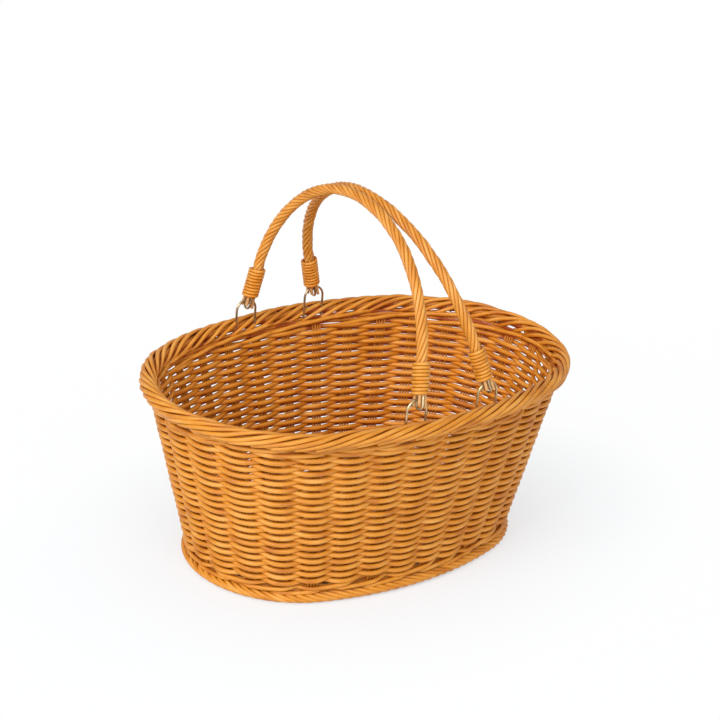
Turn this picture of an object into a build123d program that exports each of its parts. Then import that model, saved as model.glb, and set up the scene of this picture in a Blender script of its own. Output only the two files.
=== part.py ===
from build123d import *

import os
from math import asin, atan2, cos, degrees, pi, radians, sin, sqrt

os.makedirs("parts", exist_ok=True)

# Basket body: outer sizes of the rim and of the foot
rim_length = 420
rim_width = 289
rim_height = 180
foot_length = 321.6
foot_width = 211.4

# Share of the oval's half width that is the radius of its two ends
end_radius_share = 0.9

# Woven wall, from the foot up: both its faces draw in between the stakes
wall_thickness = 10
weave_hollow = 3.2
foot_border_height = 10
foot_border_width = 13
foot_border_bulge = 1
foot_border_rounding = 3
lower_wale_height = 7
upper_wale_height = 11
lower_wale_rows = 2
upper_wale_rows = 3
wale_bulge = 0.9
wale_edge_share = 0.3

# Border over the rim
border_width = 16
border_height = 12
border_overhang = 6.5
border_shoulder = 6
border_underside = 3

# Shares of the border's half width and of its crown's height that its rounded top passes
border_crown_shares = ((1, 0), (0.88, 0.36), (0.5, 0.83), (0, 1), (-0.5, 0.83), (-0.88, 0.36), (-1, 0))

# Sticks that the weaving goes round
stake_count = 31
stake_diameter = 4
stick_diameter = 4
stick_proud = 1
long_stick_count = 3
long_stick_spacing = 34
cross_stick_count = 9
cross_stick_spacing = 30

# Wire loops on the rim and wire eyes on the handles
wire_diameter = 2.2
loop_radius = 10.5
loop_rise = 8.3
hinge_distance = 39
loop_inset = 5.9
eye_radius = 4
eye_reach = 8.8
eye_leg_length = 12
wire_clearance = 0.1
running_clearance = 0.3

# Bowed handles: sizes across and along the bow, measured from the hinge line
cane_diameter = 9.8
bow_height = 146
bow_skew = 22
bow_leg_length = 34
front_leg_tilt = 18.5
back_leg_tilt = 3

# Strand wound round each handle end, and the cut canes below it
whipping_diameter = 2.55
whipping_gap = 0.5
whipping_play = 0.4
whipping_turns = 9
whipping_samples_per_turn = 48
cane_end_diameter = 2.3
cane_end_offset = 2.6
cane_end_lengths = (4, 8.5, 7, 5)

# Flat sides of the canes, thin sticks, wires and strands
cane_sides = 12
stick_sides = 8
wire_sides = 6
strand_sides = 5

# Places along the rim where one run of stakes gives way to the next
stake_run_shares = (0.125, 0.375, 0.625, 0.875)
stake_run_names = ("stakes_right", "stakes_back", "stakes_left", "stakes_front")

lower_wale_base = foot_border_height
weave_base = lower_wale_base + lower_wale_height
border_base = rim_height - border_height
upper_wale_base = border_base - upper_wale_height
wire_radius = wire_diameter / 2
hinge_height = rim_height + loop_rise


def wall_half_sizes(level):
    """Half length and half width of the wall's outer face at a height."""
    share = level / border_base
    top_half_length = rim_length / 2 - border_overhang
    top_half_width = rim_width / 2 - border_overhang
    half_length = foot_length / 2 + share * (top_half_length - foot_length / 2)
    half_width = foot_width / 2 + share * (top_half_width - foot_width / 2)
    return half_length, half_width


def oval_arcs(level):
    """Radius and centre of the oval's end arcs and side arcs at a height."""
    half_length, half_width = wall_half_sizes(level)
    end_radius = end_radius_share * half_width
    end_centre = half_length - end_radius
    rise = half_width - end_radius
    side_radius = (end_centre**2 + half_width**2 - end_radius**2) / (2 * rise)
    side_centre = side_radius - half_width
    return end_radius, end_centre, side_radius, side_centre


def draw_oval(level, inset=0):
    """Tangent arcs, parallel to the wall's outer face at a height, from the right end round."""
    end_radius, end_centre, side_radius, side_centre = oval_arcs(level)
    turn = degrees(atan2(side_centre, end_centre))
    CenterArc((end_centre, 0), end_radius - inset, 0, turn)
    CenterArc((0, -side_centre), side_radius - inset, turn, 180 - 2 * turn)
    CenterArc((-end_centre, 0), end_radius - inset, 180 - turn, 2 * turn)
    CenterArc((0, side_centre), side_radius - inset, 180 + turn, 180 - 2 * turn)
    CenterArc((end_centre, 0), end_radius - inset, -turn, turn)


def points_round(level, inset, shares):
    """Points at shares of the way round the wall, in from its outer face."""
    with BuildLine(Plane.XY.offset(level)) as oval:
        draw_oval(level, inset)
    wire = oval.wire()
    return [wire @ share for share in shares]


def wall_section_plane(level):
    """Upright plane across the wall at the right end: x outwards from the wall's face, y up."""
    half_length, half_width = wall_half_sizes(level)
    return Plane(origin=(half_length, 0, level), x_dir=(1, 0, 0), z_dir=(0, -1, 0))


def draw_wale_section(rows, height):
    """Outline of a waled band: bulging rows outside, plain inside, leaning as the wall does."""
    low = wall_half_sizes(0)
    high = wall_half_sizes(border_base)
    lean = (high[0] - low[0] + high[1] - low[1]) / (2 * border_base)
    row_height = height / rows
    for row in range(rows):
        start = Vector(row * row_height * lean, row * row_height)
        end = Vector((row + 1) * row_height * lean, (row + 1) * row_height)
        slope = (end - start) * wale_edge_share
        bulge = Vector(wale_bulge, 0)
        Polyline(start, start + slope + bulge, end - slope + bulge, end)
    top = Vector(height * lean, height)
    Polyline(top, top - Vector(wall_thickness, 0), (-wall_thickness, 0), (0, 0))


def biarc(start, start_direction, end, end_direction):
    """Two tangent arcs from one point and direction to another."""
    chord = end - start
    directions = start_direction + end_direction
    fold = 2 * (1 - start_direction.dot(end_direction))
    along = chord.dot(directions)
    reach = (sqrt(along**2 + fold * chord.dot(chord)) - along) / fold
    start_handle = start + start_direction * reach
    end_handle = end - end_direction * reach
    middle = (start_handle + end_handle) / 2
    TangentArc(start, middle, tangent=start_direction)
    TangentArc(middle, end, tangent=(end_handle - start_handle).normalized())


# Foot border: the plaited edge that the basket stands on, with a flat underside
with BuildPart() as foot_border:
    with BuildLine():
        draw_oval(0)
    with BuildSketch(wall_section_plane(0)):
        with Locations((foot_border_bulge, 0)):
            Rectangle(
                foot_border_width + foot_border_bulge,
                foot_border_height,
                align=(Align.MAX, Align.MIN),
            )
        chamfer(vertices(), foot_border_rounding)
    sweep()
foot_border.part.label = "foot_border"
export_step(foot_border.part, "parts/foot_border.step")


# Sticks of the base: cross sticks below, long sticks above
with BuildPart() as base_cross_sticks:
    stick_radius = stick_diameter / 2
    with BuildSketch(Plane.XZ.offset(-foot_width / 2)):
        with Locations((0, foot_border_height + stick_radius - stick_proud)):
            with GridLocations(cross_stick_spacing, 0, cross_stick_count, 1):
                RegularPolygon(stick_radius, stick_sides)
    extrude(amount=foot_width)
    with BuildSketch():
        with BuildLine():
            draw_oval(0, foot_border_width + running_clearance)
        make_face()
    extrude(amount=rim_height, mode=Mode.INTERSECT)
base_cross_sticks.part.label = "base_cross_sticks"
export_step(base_cross_sticks.part, "parts/base_cross_sticks.step")

with BuildPart() as base_long_sticks:
    with BuildSketch(Plane.YZ.offset(-foot_length / 2)):
        with Locations((0, weave_base - stick_radius + stick_proud)):
            with GridLocations(long_stick_spacing, 0, long_stick_count, 1):
                RegularPolygon(stick_radius, stick_sides)
    extrude(amount=foot_length)
    with BuildSketch():
        with BuildLine():
            draw_oval(0, foot_border_width + running_clearance)
        make_face()
    extrude(amount=rim_height, mode=Mode.INTERSECT)
base_long_sticks.part.label = "base_long_sticks"
export_step(base_long_sticks.part, "parts/base_long_sticks.step")


# Woven base: lies on the foot border inside the lower wale, with the sticks bedded in it
with BuildPart() as base_weave:
    with BuildSketch(Plane.XY.offset(lower_wale_base)):
        with BuildLine():
            draw_oval(lower_wale_base, wall_thickness)
        make_face()
    extrude(amount=lower_wale_height)
    add(base_cross_sticks.part, mode=Mode.SUBTRACT)
    add(base_long_sticks.part, mode=Mode.SUBTRACT)
base_weave.part.label = "base_weave"
export_step(base_weave.part, "parts/base_weave.step")


# Side stakes: straight sticks that stand in the wall's inner face from base to upper wale
stake_inset = wall_thickness + stick_proud - stake_diameter / 2
stake_shares = [(number + 0.5) / stake_count for number in range(stake_count)]
stake_feet = points_round(weave_base, stake_inset, stake_shares)
stake_heads = points_round(upper_wale_base, stake_inset, stake_shares)

all_stakes = Part()
for run, run_name in enumerate(stake_run_names):
    with BuildPart() as stakes:
        for share, stake_foot, stake_head in zip(stake_shares, stake_feet, stake_heads):
            passed = sum(share > limit for limit in stake_run_shares)
            if passed % len(stake_run_names) == run:
                with BuildSketch(Plane(stake_foot)):
                    RegularPolygon(stake_diameter / 2, stick_sides)
                line = stake_head - stake_foot
                extrude(amount=line.length, dir=line)
    all_stakes += stakes.part
    stakes.part.label = run_name
    export_step(stakes.part, f"parts/{run_name}.step")


# Lower wale: the first rows round the stakes, twisted and a little proud of the wall
with BuildPart() as lower_wale:
    with BuildLine(Plane.XY.offset(lower_wale_base)):
        draw_oval(lower_wale_base)
    with BuildSketch(wall_section_plane(lower_wale_base)):
        with BuildLine():
            draw_wale_section(lower_wale_rows, lower_wale_height)
        make_face()
    sweep()
lower_wale.part.label = "lower_wale"
export_step(lower_wale.part, "parts/lower_wale.step")


# Side weave: the leaning wall between the wales, full at the stakes, where the strands pass
# outside and inside, and drawn in between them, where they cross
def weave_corners(level, ridge_inset, hollow_inset):
    """Corners of one face of the wall at a height: a hollow and a ridge in turn."""
    hollow_shares = [number / stake_count for number in range(stake_count)]
    hollows = points_round(level, hollow_inset, hollow_shares)
    ridges = points_round(level, ridge_inset, stake_shares)
    return [(corner.X, corner.Y) for pair in zip(hollows, ridges) for corner in pair]


with BuildPart() as side_weave:
    for level in (weave_base, upper_wale_base):
        with BuildSketch(Plane.XY.offset(level)):
            with BuildLine():
                Polyline(*weave_corners(level, 0, weave_hollow), close=True)
            make_face()
    loft(ruled=True)
    for level in (weave_base, upper_wale_base):
        with BuildSketch(Plane.XY.offset(level)):
            with BuildLine():
                inner_corners = weave_corners(level, wall_thickness, wall_thickness - weave_hollow)
                Polyline(*inner_corners, close=True)
            make_face()
    loft(ruled=True, mode=Mode.SUBTRACT)
    add(all_stakes, mode=Mode.SUBTRACT)
side_weave.part.label = "side_weave"
export_step(side_weave.part, "parts/side_weave.step")


# Upper wale: the closing rows under the border
with BuildPart() as upper_wale:
    with BuildLine(Plane.XY.offset(upper_wale_base)):
        draw_oval(upper_wale_base)
    with BuildSketch(wall_section_plane(upper_wale_base)):
        with BuildLine():
            draw_wale_section(upper_wale_rows, upper_wale_height)
        make_face()
    sweep()
upper_wale.part.label = "upper_wale"
export_step(upper_wale.part, "parts/upper_wale.step")


# Wire loops: an arch at each end of both hinge lines, its legs pushed down into the border
_, _, rim_side_radius, rim_side_centre = oval_arcs(border_base)
loop_distance = sqrt(rim_side_radius**2 - hinge_distance**2) - rim_side_centre - loop_inset
loop_places = [(x, y) for x in (-hinge_distance, hinge_distance) for y in (-loop_distance, loop_distance)]

with BuildPart() as rim_loops:
    loop_leg = loop_rise + border_height
    for loop_x, loop_y in loop_places:
        loop_plane = Plane(origin=(loop_x, loop_y, hinge_height), x_dir=(1, 0, 0), z_dir=(0, -1, 0))
        with BuildLine(loop_plane):
            Line((-loop_radius, -loop_leg), (-loop_radius, 0))
            ThreePointArc((-loop_radius, 0), (0, loop_radius), (loop_radius, 0))
            Line((loop_radius, 0), (loop_radius, -loop_leg))
        with BuildSketch(Plane((loop_x - loop_radius, loop_y, border_base))):
            RegularPolygon(wire_radius, wire_sides)
        sweep()
rim_loops.part.label = "rim_loops"
export_step(rim_loops.part, "parts/rim_loops.step")


# Top border: the rounded edge over the stakes' ends, with a hole for each loop's leg
with BuildPart() as top_border:
    with BuildLine(Plane.XY.offset(border_base)):
        draw_oval(border_base)
    with BuildSketch(wall_section_plane(border_base)):
        crown = border_overhang - border_width / 2
        crown_height = border_height - border_shoulder
        top = [
            (crown + across * border_width / 2, border_shoulder + up * crown_height)
            for across, up in border_crown_shares
        ]
        inner_seat = (border_overhang - border_width, 0)
        outer_seat = (border_overhang - border_underside, 0)
        outer_corner = (border_overhang, border_underside)
        with BuildLine():
            Polyline(*top, inner_seat, outer_seat, outer_corner, close=True)
        make_face()
    sweep()
    with BuildSketch(Plane.XY.offset(border_base)):
        for loop_x, loop_y in loop_places:
            with Locations((loop_x - loop_radius, loop_y), (loop_x + loop_radius, loop_y)):
                RegularPolygon(wire_radius + wire_clearance, wire_sides)
    extrude(amount=border_height, mode=Mode.SUBTRACT)
top_border.part.label = "top_border"
export_step(top_border.part, "parts/top_border.step")


# Handles: the two bows lean together until their canes nearly touch over the middle
cane_radius = cane_diameter / 2
rest_reach = hinge_distance - cane_radius - running_clearance / 2
rest_lean = asin(rest_reach / bow_height)
cane_start = wire_radius + running_clearance
whipping_radius = cane_radius + whipping_play + whipping_diameter / 2
whipping_pitch = whipping_diameter + whipping_gap
whipping_base = cane_start + running_clearance + whipping_diameter / 2


def bow_plane(side):
    """Plane of one leaning bow: origin on its hinge line, x along the hinge, y up the bow."""
    return Plane(
        origin=(side * hinge_distance, 0, hinge_height),
        x_dir=(0, 1, 0),
        z_dir=(cos(rest_lean), 0, side * sin(rest_lean)),
    )


def leg_plane(side, end):
    """Plane of one leg: origin where the loop's wire passes, y up the leg, x across it."""
    bow = bow_plane(side)
    tilt = radians(front_leg_tilt if end < 0 else back_leg_tilt)
    across = bow.x_dir * cos(tilt) + bow.y_dir * (end * sin(tilt))
    origin = bow.from_local_coords(Vector(end * loop_distance, loop_radius))
    return Plane(origin=origin, x_dir=across, z_dir=bow.z_dir)


def draw_whipping(leg, side):
    """Helix of half turns up the leg, with a straight tail at both ends that faces inwards."""
    slope = atan2(whipping_pitch, 2 * pi * whipping_radius)

    def place(half_turns):
        angle = half_turns * pi - side * pi / 2
        spot = Vector(
            whipping_radius * cos(angle),
            whipping_base + half_turns * whipping_pitch / 2,
            whipping_radius * sin(angle),
        )
        way = Vector(-sin(angle) * cos(slope), sin(slope), cos(angle) * cos(slope))
        return leg.from_local_coords(spot), leg.from_local_coords(way) - leg.origin

    first, first_way = place(0)
    Line(first - first_way * whipping_diameter, first)
    for half_turn in range(2 * whipping_turns):
        start, start_way = place(half_turn)
        end_spot, end_way = place(half_turn + 1)
        biarc(start, start_way, end_spot, end_way)
    Line(end_spot, end_spot + end_way * whipping_diameter)


def least_gap(wire):
    """Smallest distance between neighbouring turns of a winding, less its diameter."""
    samples = whipping_turns * whipping_samples_per_turn
    points = [wire @ (number / samples) for number in range(samples + 1)]
    apart = whipping_samples_per_turn // 2
    gaps = [
        (points[late] - points[early]).length
        for early in range(len(points))
        for late in range(early + apart, len(points))
    ]
    return min(gaps) - whipping_diameter


for side, side_name in ((-1, "left"), (1, "right")):
    bow = bow_plane(side)
    front_leg = leg_plane(side, -1)
    back_leg = leg_plane(side, 1)

    # Cane: straight legs and a lopsided bow between them
    with BuildPart() as cane:
        front_end = front_leg.origin + front_leg.y_dir * cane_start
        front_bend = front_end + front_leg.y_dir * bow_leg_length
        back_end = back_leg.origin + back_leg.y_dir * cane_start
        back_bend = back_end + back_leg.y_dir * bow_leg_length
        apex = bow.from_local_coords(Vector(bow_skew, bow_height))
        with BuildLine() as bow_line:
            Line(front_end, front_bend)
            biarc(front_bend, front_leg.y_dir, apex, bow.x_dir)
            biarc(apex, bow.x_dir, back_bend, back_leg.y_dir * -1)
            Line(back_bend, back_end)
        with BuildSketch(Plane(front_end, z_dir=front_leg.y_dir)):
            RegularPolygon(cane_radius, cane_sides)
        sweep()
        for leg in (front_leg, back_leg):
            for across in (-eye_radius, eye_radius):
                groove_start = leg.origin + leg.x_dir * across + leg.y_dir * cane_start
                with BuildSketch(Plane(groove_start, z_dir=leg.y_dir)):
                    RegularPolygon(wire_radius + wire_clearance, wire_sides)
                extrude(amount=eye_leg_length, mode=Mode.SUBTRACT)
    cane.part.label = f"{side_name}_cane"
    export_step(cane.part, f"parts/{side_name}_cane.step")

    # Wire eyes: each hangs round a loop, with its legs in the cane's grooves
    with BuildPart() as eyes:
        for leg in (front_leg, back_leg):
            eye_top = cane_start + eye_leg_length
            eye_bend = eye_radius - eye_reach
            with BuildLine(leg):
                Line((-eye_radius, eye_top), (-eye_radius, eye_bend))
                ThreePointArc((-eye_radius, eye_bend), (0, -eye_reach), (eye_radius, eye_bend))
                Line((eye_radius, eye_bend), (eye_radius, eye_top))
            eye_start = leg.origin - leg.x_dir * eye_radius + leg.y_dir * eye_top
            with BuildSketch(Plane(eye_start, z_dir=leg.y_dir * -1)):
                RegularPolygon(wire_radius, wire_sides)
            sweep()
    eyes.part.label = f"{side_name}_eyes"
    export_step(eyes.part, f"parts/{side_name}_eyes.step")

    # Cut canes that stick out below the whipping, one in each corner beside the loop
    with BuildPart() as cane_ends:
        offsets = (-cane_end_offset, cane_end_offset)
        corners = [(x, y) for x in offsets for y in offsets]
        for leg in (front_leg, back_leg):
            end_plane = Plane(leg.origin + leg.y_dir * cane_start, x_dir=leg.x_dir, z_dir=leg.y_dir * -1)
            for corner, length in zip(corners, cane_end_lengths):
                with BuildSketch(end_plane):
                    with Locations(corner):
                        RegularPolygon(cane_end_diameter / 2, stick_sides)
                extrude(amount=length)
    cane_ends.part.label = f"{side_name}_cane_ends"
    export_step(cane_ends.part, f"parts/{side_name}_cane_ends.step")

    # Whippings: one strand wound round each leg over the eye's legs
    with BuildPart() as whippings:
        for leg in (front_leg, back_leg):
            with BuildLine() as winding:
                draw_whipping(leg, side)
            winding_wire = winding.wire()
            with BuildSketch(Plane(winding_wire @ 0, z_dir=winding_wire % 0)):
                RegularPolygon(whipping_diameter / 2, strand_sides)
            sweep()
            print(side_name, "whipping least gap", round(least_gap(winding_wire), 3))
    whippings.part.label = f"{side_name}_whippings"
    export_step(whippings.part, f"parts/{side_name}_whippings.step")
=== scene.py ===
import math

import bpy
from mathutils import Matrix, Vector


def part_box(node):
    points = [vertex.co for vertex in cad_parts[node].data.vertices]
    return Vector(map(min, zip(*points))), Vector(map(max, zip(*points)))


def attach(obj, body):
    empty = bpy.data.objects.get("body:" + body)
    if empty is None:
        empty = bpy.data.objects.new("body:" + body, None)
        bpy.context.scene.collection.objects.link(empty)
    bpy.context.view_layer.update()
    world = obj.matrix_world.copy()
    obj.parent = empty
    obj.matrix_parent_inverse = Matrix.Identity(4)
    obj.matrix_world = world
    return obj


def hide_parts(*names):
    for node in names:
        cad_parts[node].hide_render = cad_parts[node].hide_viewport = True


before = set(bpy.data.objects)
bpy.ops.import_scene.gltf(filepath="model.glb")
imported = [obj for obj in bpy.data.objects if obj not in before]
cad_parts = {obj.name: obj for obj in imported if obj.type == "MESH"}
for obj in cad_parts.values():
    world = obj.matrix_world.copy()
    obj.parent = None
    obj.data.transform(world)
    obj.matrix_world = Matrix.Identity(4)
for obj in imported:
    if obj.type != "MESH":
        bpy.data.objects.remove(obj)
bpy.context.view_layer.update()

MM = 0.001
UP = Vector((0, 0, 1))
VECTOR = "FLOAT_VECTOR"

# Oval of the wall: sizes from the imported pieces
columns = 31
wall_thickness = 10 * MM
end_radius_share = 0.9
oval_points = 720
floor_low, floor_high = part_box("base_weave")
side_low, side_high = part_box("side_weave")
rim_low, rim_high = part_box("top_border")
loop_low, loop_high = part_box("rim_loops")
rim_level = rim_low.z
foot_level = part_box("foot_border")[1].z

# Strands of the wall: rows of weaving, heavier rows at the foot and under the rim, and stakes
middle_of_wall = -wall_thickness / 2
weave_rows = 39
weave_strand = 4.65 * MM
weave_swing = 3.4 * MM
weave_pinch = 0.12
weave_lift = -0.65 * MM
weave_sag = -0.35 * MM
weave_unevenness = 0.9 * MM
weave_first_level = side_low.z + weave_strand / 2 - 0.4 * MM
samples_per_column = 14.0
strand_sides = 8
crest_fullness = 0.25
inner_facing = 0.2
wales = {"foot_wale": ("lower_wale", 3), "rim_wale": ("upper_wale", 4)}
wale_strand = 4.1 * MM
wale_swing = 3.4 * MM
wale_slant = 1.3 * MM
wale_lift = -0.9 * MM
wale_unevenness = 0.6 * MM
wale_start = 0.2 * MM
stake_canes = 4
stake_cane = 2.2 * MM
stake_spread = 1.22
stake_column = 0.5
stake_unevenness = 0.5 * MM
stake_points = 10
stake_shift = 11.7
wall_lumpiness = 1.6 * MM
noise_seed = 3.0

# Border over the rim and plait round the foot: sizes out of the wall's outer face and up
border_strand = 4.0 * MM
border_reach = -3.0
border_starts = ((0.0, 0.0), (0.46, 0.48))
border_turns = (math.radians(262), math.radians(-50))
border_bend = 0.7
wrap_points = 40
wrap_shift = 13
border_core = 8.6 * MM
border_centre = Vector((-1.5, 171.6)) * MM
border_half_size = Vector((6.0, 6.3)) * MM
border_unevenness = 2.4 * MM
border_lumpiness = 2.2 * MM
rim_filler = 3 * MM
filler_rows = 3
filler_level = 160 * MM
filler_pitch = 2.9 * MM
foot_core = 8 * MM
foot_core_level = 10.4 * MM
foot_core_middle = -7.5 * MM
plait_strand = 3.8 * MM
plait_reach = 1.7
plait_starts = ((0.0, 0.0), (0.33, 0.33), (0.67, 0.67))
plait_turns = (math.radians(120), math.radians(-140))
plait_centre = Vector((-3.2, 5.1)) * MM
plait_half_size = Vector((5.6, 3.0)) * MM

# Floor: the shifts and drifts vary the tone from strand to strand and along each stick
floor_strand = 4.1 * MM
floor_pitch = 4.25 * MM
floor_swing = 2.4 * MM
floor_step = 3 * MM
floor_roundness = 2.3
floor_row_shift = 7.9
floor_middle = (floor_low.z + floor_high.z) / 2
cross_stick_count = 9
cross_stick_spacing = 30 * MM
cross_stick_shift, cross_stick_drift = 7.0, 3.0
long_stick_count = 3
long_stick_spacing = 34 * MM
long_stick_rise = 3 * MM
long_stick_shift, long_stick_drift = 9.0, 5.0
stick_radius = 2 * MM

# Handles
wire_radius = 1.1 * MM
wire_sides = 12
wire_drift = 0.1
arch_steps = 24
running_clearance = 0.3 * MM
loop_radius = 10.5 * MM
loop_rise = 8.3 * MM
loop_distance = (loop_high.y - loop_low.y) / 2 - wire_radius
hinge_distance = 39 * MM
hinge_height = rim_high.z + loop_rise
cane_radius = 4.9 * MM
bow_height = 146 * MM
bow_skew = 22 * MM
bow_leg_length = 34 * MM
bow_steps = 34
lay_radius = 3.4 * MM
lay_inset = 1.2 * MM
lay_unevenness = 1.3 * MM
laid_strand = 3.35 * MM
laid_count = 7
laid_sides = 10
twist_rates = (
    (0.0, 0.115),
    (0.12, 0.10),
    (0.3, 0.085),
    (0.5, 0.11),
    (0.62, 0.13),
    (0.85, 0.135),
    (1.0, 0.13),
)
leg_tilts = {-1: math.radians(18.5), 1: math.radians(3)}
rest_lean = math.asin((hinge_distance - cane_radius - running_clearance / 2) / bow_height)
cane_start = wire_radius + running_clearance
eye_radius = 4 * MM
eye_reach = 8.8 * MM
eye_leg_length = 12 * MM
whipping_strand = 2.9 * MM
whipping_radius = 6.55 * MM
whipping_turns = 9
whipping_steps_per_turn = 28
whipping_pitch = 3.05 * MM
whipping_base = cane_start + running_clearance + whipping_strand / 2
cut_cane = 2.9 * MM
cut_cane_offset = 3 * MM
cut_cane_lengths = (6.5 * MM, 9 * MM, 8 * MM, 7 * MM)
cut_cane_cover = 4 * MM
cut_cane_splay = 0.06
cut_face_depth = 0.05 * MM

# Noises: shifts from copy to copy and between directions, length of a unit along, and scales
copy_shift = 37.3
direction_shift = 500.0
run_unit = 30 * MM
running_drift = 0.8
stroke_drift = 0.7
lump_scale = 18.0


# Node helpers, for forms and finishes alike


def add(tree, kind, inputs=None, **settings):
    """One node, with its settings made and its inputs set or linked."""
    node = tree.nodes.new(kind)
    for name, value in settings.items():
        setattr(node, name, value)
    for name, value in (inputs or {}).items():
        if isinstance(value, bpy.types.NodeSocket):
            tree.links.new(value, node.inputs[name])
        else:
            node.inputs[name].default_value = value
    return node


def calc(tree, operation, *terms):
    """Result of one step of arithmetic."""
    return add(tree, "ShaderNodeMath", dict(enumerate(terms)), operation=operation).outputs[0]


def combine(tree, operation, *terms):
    """Result of one step of vector arithmetic."""
    return add(tree, "ShaderNodeVectorMath", dict(enumerate(terms)), operation=operation).outputs[0]


def stretch(tree, vector, factor):
    """A vector times a number."""
    inputs = {0: vector, "Scale": factor}
    return add(tree, "ShaderNodeVectorMath", inputs, operation="SCALE").outputs[0]


def measure(tree, operation, *vectors):
    """A number from one or two vectors: a length or a dot product."""
    inputs = dict(enumerate(vectors))
    return add(tree, "ShaderNodeVectorMath", inputs, operation=operation).outputs["Value"]


def spread(tree, **parts):
    """A vector from its X, Y and Z."""
    return add(tree, "ShaderNodeCombineXYZ", parts).outputs[0]


def own_place(tree):
    """The place of each point."""
    return add(tree, "GeometryNodeInputPosition").outputs[0]


def wander(tree, along, scale, size):
    """A slow drift to either side as a value runs on."""
    inputs = {"W": along, "Scale": scale, "Detail": 1.0}
    noise = add(tree, "ShaderNodeTexNoise", inputs, noise_dimensions="1D").outputs["Fac"]
    return calc(tree, "MULTIPLY", calc(tree, "SUBTRACT", noise, 0.5), size)


def rescale(tree, value, low, high, new_low=0.0, new_high=1.0, way="LINEAR"):
    """A value moved from one range to another and held inside it."""
    inputs = {"Value": value, "From Min": low, "From Max": high, "To Min": new_low, "To Max": new_high}
    return add(tree, "ShaderNodeMapRange", inputs, interpolation_type=way).outputs["Result"]


def own_value(tree, name, kind="FLOAT"):
    """A named value that the points carry."""
    node = add(tree, "GeometryNodeInputNamedAttribute", {"Name": name}, data_type=kind)
    return node.outputs["Attribute"]


def keep_value(tree, geometry, name, value, kind="FLOAT"):
    """Geometry whose points carry a named value."""
    inputs = {"Geometry": geometry, "Name": name, "Value": value}
    return add(tree, "GeometryNodeStoreNamedAttribute", inputs, data_type=kind).outputs["Geometry"]


def start_tree(name, inputs):
    """A Geometry Nodes tree that takes a geometry and named sizes."""
    tree = bpy.data.node_groups.new(name, "GeometryNodeTree")
    tree.interface.new_socket("Geometry", in_out="INPUT", socket_type="NodeSocketGeometry")
    for label, kind in inputs.items():
        tree.interface.new_socket(label, in_out="INPUT", socket_type="NodeSocket" + kind)
    tree.interface.new_socket("Geometry", in_out="OUTPUT", socket_type="NodeSocketGeometry")
    return tree, tree.nodes.new("NodeGroupInput").outputs


def end_tree(tree, geometry):
    """Sends a geometry to the tree's output."""
    tree.links.new(geometry, tree.nodes.new("NodeGroupOutput").inputs[0])
    return tree


def end_with(tree, size, group, group_inputs, lines):
    """Passes lines through another tree, with the sizes that it takes, to this tree's output."""
    made = add(tree, "GeometryNodeGroup", node_tree=group)
    tree.links.new(lines, made.inputs["Geometry"])
    for label in group_inputs:
        tree.links.new(size[label], made.inputs[label])
    return end_tree(tree, made.outputs["Geometry"])


def moved(tree, geometry, **inputs):
    """Geometry whose points are set to a position or shifted by an offset."""
    inputs = {"Geometry": geometry, **inputs}
    return add(tree, "GeometryNodeSetPosition", inputs).outputs["Geometry"]


def drawn_curve(tree, geometry):
    """A curve from a mesh line."""
    return add(tree, "GeometryNodeMeshToCurve", {"Mesh": geometry}).outputs["Curve"]


def copied(tree, curve, amount):
    """Copies of a curve on the spot, with the number that each copy has."""
    inputs = {"Geometry": curve, "Amount": amount}
    copies = add(tree, "GeometryNodeDuplicateElements", inputs, domain="SPLINE").outputs
    return copies["Geometry"], copies["Duplicate Index"]


tube_inputs = {"Strand radius": "Float", "Sides": "Int", "Finish": "Material"}
wrap_inputs = {
    "Foot oval": "Object",
    "Rim oval": "Object",
    "Rim level": "Float",
    "Columns": "Float",
    "Lumpiness": "Float",
    "Seed": "Float",
    **tube_inputs,
}


def tube_tree():
    """Makes a round strand along each line, as thick as the girth that its points carry.

    Its skin carries "open": how far it looks away from the strands that it is pressed against, which the
    cane finishes use for painted shade.
    """
    tree, size = start_tree("round_strand", tube_inputs)
    inputs = {"Resolution": size["Sides"], "Radius": size["Strand radius"]}
    ring = add(tree, "GeometryNodeCurvePrimitiveCircle", inputs).outputs["Curve"]
    ring = keep_value(tree, ring, "around", combine(tree, "NORMALIZE", own_place(tree)), VECTOR)
    inputs = {
        "Curve": size["Geometry"],
        "Profile Curve": ring,
        "Scale": own_value(tree, "girth"),
        "Fill Caps": True,
    }
    mesh = add(tree, "GeometryNodeCurveToMesh", inputs).outputs["Mesh"]
    middle = own_value(tree, "middle", VECTOR)
    side = combine(tree, "NORMALIZE", combine(tree, "SUBTRACT", own_place(tree), middle))
    facing = own_value(tree, "facing", VECTOR)
    even = calc(tree, "SUBTRACT", 1.0, measure(tree, "LENGTH", facing))
    open_share = calc(tree, "ADD", measure(tree, "DOT_PRODUCT", side, facing), even)
    mesh = keep_value(tree, mesh, "open", open_share)
    mesh = add(tree, "GeometryNodeSetShadeSmooth", {"Geometry": mesh}).outputs["Geometry"]
    mesh = add(tree, "GeometryNodeRealizeInstances", {"Geometry": mesh}).outputs["Geometry"]
    inputs = {"Geometry": mesh, "Material": size["Finish"]}
    return end_tree(tree, add(tree, "GeometryNodeSetMaterial", inputs).outputs["Geometry"])


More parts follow.
